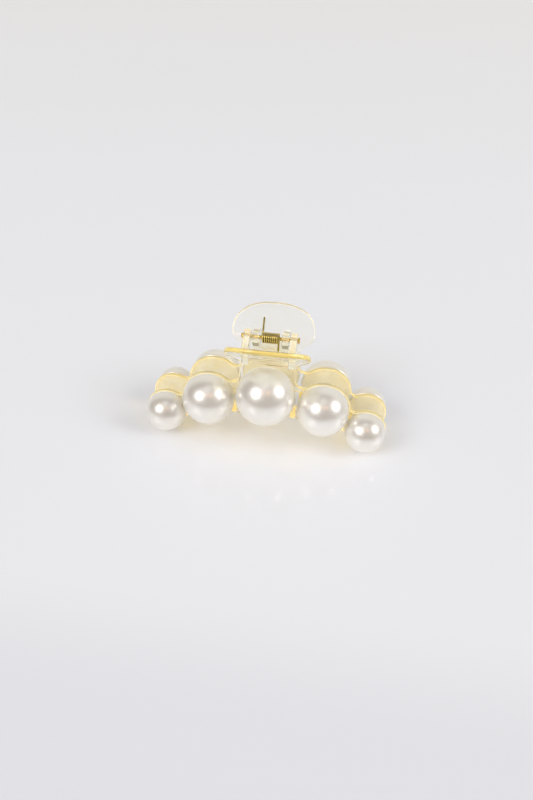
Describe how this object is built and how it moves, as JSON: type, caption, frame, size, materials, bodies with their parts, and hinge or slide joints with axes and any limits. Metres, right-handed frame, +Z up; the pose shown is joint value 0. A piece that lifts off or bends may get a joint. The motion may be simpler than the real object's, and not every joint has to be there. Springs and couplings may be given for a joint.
{
  "type": "claw clip",
  "caption": "Hair claw clip with two moulded jaws on a sprung pin, thumb handles above and rows of faux pearls outside.",
  "frame": {"origin": "on the surface that the clip stands on, under the middle of the clip", "axes": "+X along the clip, towards the right of someone who looks at the front jaw; -Y out of the front jaw; +Z up, towards the handles"},
  "size_m": [0.0838, 0.0382, 0.042],
  "materials": {
    "tinted_plastic": "clear moulded plastic with a pale yellow tint, glossy",
    "faux_pearl": "pearlescent cream coating, glossy",
    "gold_metal": "polished gold plating"
  },
  "bodies": {
    "front": {"front_jaw": "tinted_plastic", "hinge_pin": "gold_metal", "torsion_spring": "gold_metal", "front_pearl_left_small": "faux_pearl", "front_pearl_left_medium": "faux_pearl", "front_pearl_centre_large": "faux_pearl", "front_pearl_right_medium": "faux_pearl", "front_pearl_right_small": "faux_pearl"},
    "rear": {"rear_jaw": "tinted_plastic", "rear_pearl_left_small": "faux_pearl", "rear_pearl_left_medium": "faux_pearl", "rear_pearl_centre_large": "faux_pearl", "rear_pearl_right_medium": "faux_pearl", "rear_pearl_right_small": "faux_pearl"}
  },
  "joints": [
    {"name": "jaw_hinge", "type": "hinge", "parent": "front", "child": "rear", "pos_m": [0, 0, 0.0371], "axis": [1, 0, 0], "range_deg": [0, 60], "stiffness_Nm_per_rad": 0.06, "springref_deg": -57.3, "deforming": ["torsion_spring"]}
  ]
}
